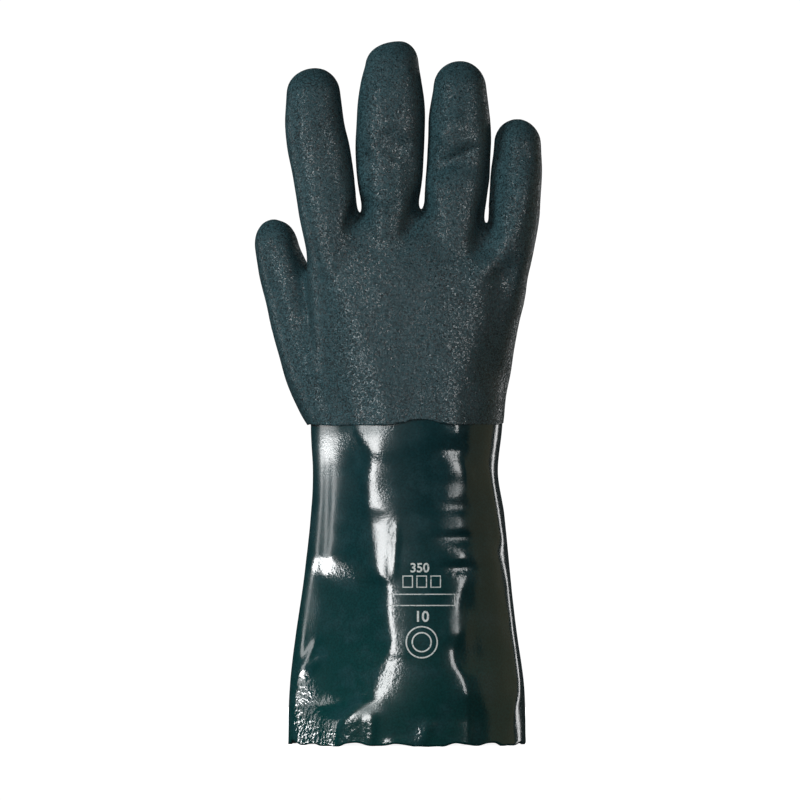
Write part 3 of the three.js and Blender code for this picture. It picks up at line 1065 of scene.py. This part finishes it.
# The webs between the fingers, the thumb's root and the little finger's, and the ball of the thumb.
HAND_BLENDS = (
    Blend(-23, 262, 11, 14),
    Blend(7, 262, 11, 14),
    Blend(39.5, 256, 11, 14),
    Blend(-52, 246, 12, 10),
    Blend(60, 236, 16, 14),
    Blend(-50, 220, 20, 10),
    Blend(-50, 190, 24, 10),
)


@dataclass
class GrittyHand:
    """The hand: the palm and five digits in one skin, which ends in the grip coat's wavy hem."""

    back: CuffBack
    palm: tuple[Section, ...] = PALM_SECTIONS
    digits: tuple[Digit, ...] = DIGITS
    creases: tuple[Crease, ...] = HAND_CREASES
    blends: tuple[Blend, ...] = HAND_BLENDS
    palm_dome: float = 6.0
    palm_faces: tuple[int, int] = (96, 72)  # round the palm and along it
    digit_faces: tuple[int, int] = (48, 72)
    squareness: tuple[float, float] = (2.15, 2.7)  # at the wrist and at the knuckles
    squared: tuple[float, float] = (160.0, 235.0)  # the heights between which that changes
    off_cuff: tuple[float, float] = (163.0, 190.0)  # where the back leaves the cuff's form
    digit_squareness: float = 2.4
    digit_swell: float = 0.15  # how far a digit's coat stands off its sections
    coat: float = 0.65  # how far the grip coat stands proud of the cuff
    wall: float = 2.0
    hem_wall: float = 0.6
    hem_thickens: tuple[float, float] = (3.5, 8.0)  # the heights above the hem where it does
    hem: float = 159.0  # mean height of the hem
    hem_ripples: tuple[Ripple, ...] = (Ripple(3, 0.5, 1.0), Ripple(8, 0.35, 0.4))
    hem_swells: tuple[Swell, ...] = (Swell(9, 11, 2.4), Swell(-20, 12, -1.2))  # on the back only
    hem_front: float = 12.0  # the depth over which the swells die out towards the palm
    voxel: float = 1.3
    arch: float = 0.0030  # drop of the finger roots, in mm for each square mm from the crown
    arch_crown: float = -8.0
    arch_depth: float = 60.0  # the depth below the roots over which the arch dies out
    spread_span: tuple[float, float] = (252.0, 270.0)  # the heights over which fingers spread
    seam: float = 0.8  # half the gap over which the way back changes from finger to finger
    relaxed: int = 3  # rounds over the whole skin
    roots: tuple[float, float] = (226.0, 262.0)  # the heights of the finger roots
    roots_relaxed: int = 8
    swell: tuple[float, float] = (14.0, 0.3)  # wave and height

    def palm_point(self, turn: float, share: float) -> Vector:
        """Return a point of the palm's closed tube, in mm, for a turn and a share of its length."""
        low, top = self.palm[0].z, self.palm[-1].z
        z, scale = self._profile(share, low, top, top + self.palm_dome)
        section = row_at(self.palm, z)
        squareness = lerp(*self.squareness, smoothstep(*self.squared, z))
        point = on_section(section, turn, squareness, self.coat, scale)
        point = self.back.shifted(point, 1 - smoothstep(*self.off_cuff, z), self.coat)
        fade = smoothstep(top - self.arch_depth, top, z)
        point.z = z - self.arch * (point.x - self.arch_crown) ** 2 * fade
        return point

    def digit_point(self, digit: Digit, turn: float, share: float) -> Vector:
        """Return a point of a digit's closed tube, in mm, for a turn and a share of its length."""
        low, top = digit.sections[0].z, digit.sections[-1].z
        z, scale = self._profile(share, low, top, digit.tip)
        section = row_at(digit.sections, z)
        point = on_section(section, turn, self.digit_squareness, self.digit_swell, scale)
        point.z = z
        point.x += digit.spread * smoothstep(*self.spread_span, z)
        if z > top:
            below = digit.sections[-2]
            point.x += digit.lean * (1 - scale)
            point.y += (section.middle - below.middle) / (top - below.z) * (z - top)
        return point

    def gather(self, bm: BMesh) -> None:
        """Move the spread fingers of the fused skin back to their places.

        The thumb, which is the last digit, is spread and moved with the index finger.
        """
        fingers = self.digits[:-1]
        for vert in bm.verts:
            x, _, z = vert.co / MM
            share = smoothstep(*self.spread_span, z)
            if share == 0.0:
                continue
            move = fingers[0].spread
            for left, right in zip(fingers, fingers[1:]):
                edge = row_at(left.sections, z).right
                facing_edge = row_at(right.sections, z).left
                gap = (edge + facing_edge + (left.spread + right.spread) * share) / 2
                passed = smoothstep(gap - self.seam, gap + self.seam, x)
                move += (right.spread - left.spread) * passed
            vert.co.x -= move * share * MM

    @staticmethod
    def _profile(share: float, low: float, top: float, tip: float) -> tuple[float, float]:
        """Return a height, and the section's scale, in a tube closed by a flat foot and a dome."""
        foot, dome = 0.06, 0.78
        if share < foot:
            return low, share / foot
        if share < dome:
            return lerp(low, top, (share - foot) / (dome - foot)), 1.0
        angle = (share - dome) / (1 - dome) * math.pi / 2
        return lerp(top, tip, math.sin(angle)), math.cos(angle)

    def hem_wave(self, place: Vector) -> float:
        """Return how far the hem lies above its mean height at a place in metres, in mm."""
        x, y, _ = place / MM
        angle = math.atan2(y, x)
        rise = sum(swell.at(x) for swell in self.hem_swells)
        wave = sum(ripple.at(angle) for ripple in self.hem_ripples)
        return wave + smoothstep(0, self.hem_front, -y) * rise

    def skin(self) -> BMesh:
        """Return the hand's outer skin, closed and without its creases."""
        bm = bmesh.new()
        add_tube(bm, *self.palm_faces, self.palm_point)
        for digit in self.digits:
            add_tube(bm, *self.digit_faces, partial(self.digit_point, digit))
            LOG.info("%s: its tip is %.1f mm up", digit.name, digit.tip)
        bmesh.ops.recalc_face_normals(bm, faces=bm.faces)
        fused = remeshed(bm, self.voxel)
        self.gather(fused)
        relax(fused, fused.verts, self.relaxed)
        for blend in self.blends:
            middle = Vector((blend.x, blend.z))
            near = [v for v in fused.verts if (v.co.xz / MM - middle).length < blend.radius]
            relax(fused, near, blend.rounds)
        low, high = self.roots
        relax(fused, [v for v in fused.verts if low < v.co.z / MM < high], self.roots_relaxed)
        return fused

    def trim(self, bm: BMesh) -> None:
        """Cut the skin off along the wavy hem."""
        for vert in bm.verts:
            vert.co.z -= self.hem_wave(vert.co) * MM
        bmesh.ops.bisect_plane(
            bm,
            geom=bm.verts[:] + bm.edges[:] + bm.faces[:],
            dist=CUT_M,
            plane_co=(0, 0, self.hem * MM),
            plane_no=(0, 0, 1),
            clear_inner=True,
        )
        for vert in bm.verts:
            vert.co.z += self.hem_wave(vert.co) * MM

    def build(self) -> Object:
        """Return the finished piece."""
        bm = self.skin()
        sculpt(bm, self.creases, lambda z: 1.0)
        roughen(bm, *self.swell)
        self.trim(bm)
        obj = mesh_object(HAND_SKIN, bm)
        wall = give_wall(obj, GritCoat(), self.wall)
        thick = obj.vertex_groups.new(name="wall_thickness")
        for vert in obj.data.vertices:
            above = vert.co.z / MM - self.hem - self.hem_wave(vert.co)
            thick.add([vert.index], smoothstep(*self.hem_thickens, above), "REPLACE")
        wall.vertex_group = thick.name
        wall.thickness_vertex_group = self.hem_wall / self.wall
        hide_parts("gritty_hand")
        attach(obj, "root")
        return obj


@dataclass
class SizePrint:
    """The white print on the cuff: the length in mm, boxes, a write-on field, the size and rings.

    Each row lies so far above the print's middle. A number's row gives its x from the middle, that
    height and the digits' size.
    """

    middle: tuple[float, float] = (7.0, 70.0)
    length: str = "350"
    length_row: tuple[float, float, float] = (-1.0, 18.0, 6.4)
    box_size: tuple[float, float] = (5.2, 6.0)
    box_pitch: float = 6.9
    box_row: float = 11.4
    field_size: tuple[float, float] = (33.0, 6.0)
    field_row: float = 2.4
    size: str = "10"
    size_row: tuple[float, float, float] = (0.0, -6.0, 7.4)
    ring_radii: tuple[float, float] = (8.0, 5.0)
    ring_row: float = -18.4
    line: float = 0.7
    boldness: float = 0.02  # how much fatter the digits are, as a share of their height
    reach: int = 30  # mm from the middle within which the print is cut into small faces
    on_cut: float = 1e-5  # mm within which a vertex lies on such a cut
    ring_faces: int = 64
    proud: float = 0.06  # how far the ink stands off the skin
    in_front: float = 90.0  # mm in front of the glove's middle, well clear of it

    def _outline(
        self,
        bm: BMesh,
        verts: list[BMVert],
        row: float,
        x: float = 0.0,
        size: tuple[float, float] = (1.0, 1.0),
    ) -> None:
        """Turn a new flat face into its outline, one line thick.

        Args:
            bm: The print.
            verts: The face's vertices.
            row: The height of its middle above the print's.
            x: How far its middle lies to the right of the print's.
            size: By how much it is made wider and taller.
        """
        for vert in verts:
            vert.co = Vector((x + vert.co.x * size[0], 0, row + vert.co.y * size[1]))
        bm.normal_update()
        faces = list({f for v in verts for f in v.link_faces})
        bmesh.ops.inset_region(bm, faces=faces, thickness=self.line, use_boundary=True)
        bmesh.ops.delete(bm, geom=[f for f in faces if f.is_valid], context="FACES_ONLY")

    def _number(self, bm: BMesh, body: str, row: tuple[float, float, float]) -> None:
        """Add a number, flat and centred on its row."""
        x, up, height = row
        text = bpy.data.curves.new("number", "FONT")
        text.body = body
        text.align_x, text.align_y = "CENTER", "CENTER"
        text.size = height
        text.offset = self.boldness * height
        obj = bpy.data.objects.new("number", text)
        bpy.context.scene.collection.objects.link(obj)
        mesh = bpy.data.meshes.new_from_object(obj)
        bpy.data.objects.remove(obj)
        for vert in mesh.vertices:
            vert.co = Vector((x + vert.co.x, 0, up + vert.co.y))
        bm.from_mesh(mesh)
        bpy.data.meshes.remove(mesh)

    def _cut(self, bm: BMesh) -> None:
        """Cut the print into faces 1 mm wide, so that it can follow the skin."""
        for axis in (0, 2):
            for away in range(-self.reach, self.reach):
                normal = Vector((0, 0, 0))
                normal[axis] = 1.0
                start = normal * away
                geom = bm.verts[:] + bm.edges[:] + bm.faces[:]
                bmesh.ops.bisect_plane(
                    bm, geom=geom, dist=self.on_cut, plane_co=start, plane_no=normal
                )
        bmesh.ops.triangulate(bm, faces=bm.faces)

    def build(self, cuff: Object) -> Object:
        """Lay the print on the cuff.

        Args:
            cuff: The cuff's object.

        Returns:
            The finished piece.
        """
        bm = bmesh.new()
        self._number(bm, self.length, self.length_row)
        boxes = [(self.box_row, self.box_pitch * i, self.box_size) for i in (-1, 0, 1)]
        for outline in (*boxes, (self.field_row, 0.0, self.field_size)):
            grid = bmesh.ops.create_grid(bm, x_segments=1, y_segments=1, size=0.5)
            self._outline(bm, grid["verts"], *outline)
        self._number(bm, self.size, self.size_row)
        for radius in self.ring_radii:
            circle = bmesh.ops.create_circle(
                bm, cap_ends=True, segments=self.ring_faces, radius=radius
            )
            self._outline(bm, circle["verts"], self.ring_row)
        self._cut(bm)
        skin = BVHTree.FromObject(cuff, bpy.context.evaluated_depsgraph_get())
        x, z = self.middle
        for vert in bm.verts:
            start = Vector((x + vert.co.x, -self.in_front, z + vert.co.z)) * MM
            hit, normal, _, _ = skin.ray_cast(start, Vector((0, 1, 0)))
            vert.co = hit + normal * self.proud * MM
        for face in bm.faces:
            face.normal_update()
            if face.normal.y > 0:
                face.normal_flip()
        obj = mesh_object("size_print", bm)
        obj.data.materials.append(PadPrint().material())
        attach(obj, "root")
        return obj


class Role(Enum):
    """What a softbox is for: to be seen in the gloss, or to light the shapes."""

    GLINT = "glint"
    FILL = "fill"


@dataclass(frozen=True)
class Softbox:
    """A rectangular studio light that looks at the glove, with its distance and sizes in metres.

    The azimuth is seen from above, from the camera's side towards -X.
    """

    name: str
    azimuth: float
    elevation: float
    distance: float
    width: float
    height: float
    radiance: float
    tint: str = "ffffff"
    role: Role = Role.GLINT
    only: str = ""  # the name of the one piece that it lights, or empty for all of them

    def build(self, target: Vector) -> None:
        """Add the light, aimed at a point in metres."""
        light = bpy.data.lights.new(self.name, "AREA")
        light.shape = "RECTANGLE"
        light.size, light.size_y = self.width, self.height
        light.energy = self.radiance * math.pi * self.width * self.height
        light.color = linear(self.tint)[:3]
        a, e = math.radians(self.azimuth), math.radians(self.elevation)
        out = Vector((-math.sin(a) * math.cos(e), -math.cos(a) * math.cos(e), math.sin(e)))
        obj = bpy.data.objects.new(self.name, light)
        obj.location = target + out * self.distance
        obj.rotation_mode = "QUATERNION"
        obj.rotation_quaternion = out.to_track_quat("Z", "Y")
        obj.visible_glossy = self.role is Role.GLINT
        obj.visible_diffuse = self.role is Role.FILL
        if self.only:
            lit = bpy.data.collections.new(f"{self.name}_lights")
            lit.objects.link(bpy.data.objects[self.only])
            obj.light_linking.receiver_collection = lit
        bpy.context.scene.collection.objects.link(obj)


@dataclass
class Studio:
    """The pale floor, the surroundings, the studio lights and the camera.

    The surroundings are a colour and a strength each for diffuse light, reflections and the camera.
    """

    centre: Vector = field(default_factory=lambda: Vector((-3.7, 0, 171)) * MM)
    camera_distance: float = 5.0  # metres, as the next two
    sees_to: float = 60.0
    floor_radius: float = 0.6
    floor_sides: int = 96
    sensor: float = 36.0
    fill: tuple[str, float] = ("e6eeee", 0.10)
    reflected: tuple[str, float] = ("9fb4b8", 0.05)
    seen: tuple[str, float] = ("ffffff", 1.05)
    softboxes: tuple[Softbox, ...] = (
        Softbox("strip_left", 24, 9, 2.2, 0.5, 0.9, 20, only=CUFF_SKIN),
        Softbox("strip_right", -37, 10, 2.2, 0.45, 0.8, 8.5, only=CUFF_SKIN),
        Softbox("crumb_left", 26, 12, 2.2, 0.5, 0.9, 15, only=HAND_SKIN),
        Softbox("crumb_right", -28, 14, 2.2, 0.45, 0.8, 15, only=HAND_SKIN),
        Softbox("strip_side_left", 92, 2, 2.0, 0.4, 1.2, 5),
        Softbox("spark_left", 92, -20, 2.0, 0.7, 0.9, 36, only=CUFF_SKIN),
        Softbox("strip_side_right", -130, 0, 2.0, 0.30, 1.5, 5),
        Softbox("panel_right", -88, 5, 2.0, 2.0, 2.0, 0.30, "ffeeb6"),
        Softbox("key_left", 60, 26, 2.6, 0.9, 0.9, 19.0, role=Role.FILL),
        Softbox("front_fill", 6, 12, 3.2, 1.4, 1.4, 3.6, role=Role.FILL),
        Softbox("back_fill", 180, 22, 2.6, 2.0, 1.4, 6.0, role=Role.FILL),
    )

    def build_world(self) -> None:
        """Make the surroundings: white to the camera, a soft grey fill, and dim in reflections."""
        world = bpy.data.worlds.new("studio")
        node = empty_nodes(world)
        path = node("LightPath")
        fill, dim, white = (
            node("Background", {"Color": linear(colour), "Strength": strength})
            for colour, strength in (self.fill, self.reflected, self.seen)
        )
        inner = node("MixShader", {}, {0: path.outputs["Is Glossy Ray"], 1: fill, 2: dim})
        outer = node("MixShader", {}, {0: path.outputs["Is Camera Ray"], 1: inner, 2: white})
        node("OutputWorld", {}, {"Surface": outer})
        bpy.context.scene.world = world

    def build_floor(self) -> None:
        """Lay the pale floor that the glove stands on."""
        bm = bmesh.new()
        bmesh.ops.create_circle(
            bm, cap_ends=True, segments=self.floor_sides, radius=self.floor_radius
        )
        floor = mesh_object("floor", bm)
        floor.data.materials.append(FloorPaper().material())
        floor.visible_glossy = False
        floor.visible_diffuse = False

    def build_camera(self) -> None:
        """Put the camera level with the glove's middle, square to the back of the hand."""
        data = bpy.data.cameras.new("camera")
        data.sensor_width = self.sensor
        frame_width = PHOTO_PX * PHOTO_MM_PER_PX * MM
        data.lens = data.sensor_width * self.camera_distance / frame_width
        data.clip_end = self.sees_to
        camera = bpy.data.objects.new("camera", data)
        camera.location = self.centre + Vector((0, -self.camera_distance, 0))
        camera.rotation_euler = (math.pi / 2, 0, 0)
        bpy.context.scene.collection.objects.link(camera)
        bpy.context.scene.camera = camera

    def build(self) -> None:
        """Set the whole stage. The pieces that a softbox lights alone are there already."""
        self.build_camera()
        self.build_world()
        self.build_floor()
        for softbox in self.softboxes:
            softbox.build(self.centre)
        bpy.context.scene.view_settings.view_transform = "Standard"


def main() -> None:
    """Build the glove, piece by piece, and the studio round it."""
    logging.basicConfig(level=logging.INFO, format="%(name)s: %(message)s")
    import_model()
    back = CuffBack()
    cuff = SmoothCuff(back).build()
    hand = GrittyHand(back).build()
    size_print = SizePrint().build(cuff)
    Studio().build()
    for piece in (cuff, hand, size_print):
        LOG.info("%s: %d faces before its wall", piece.name, len(piece.data.polygons))


if __name__ == "__main__":
    main()
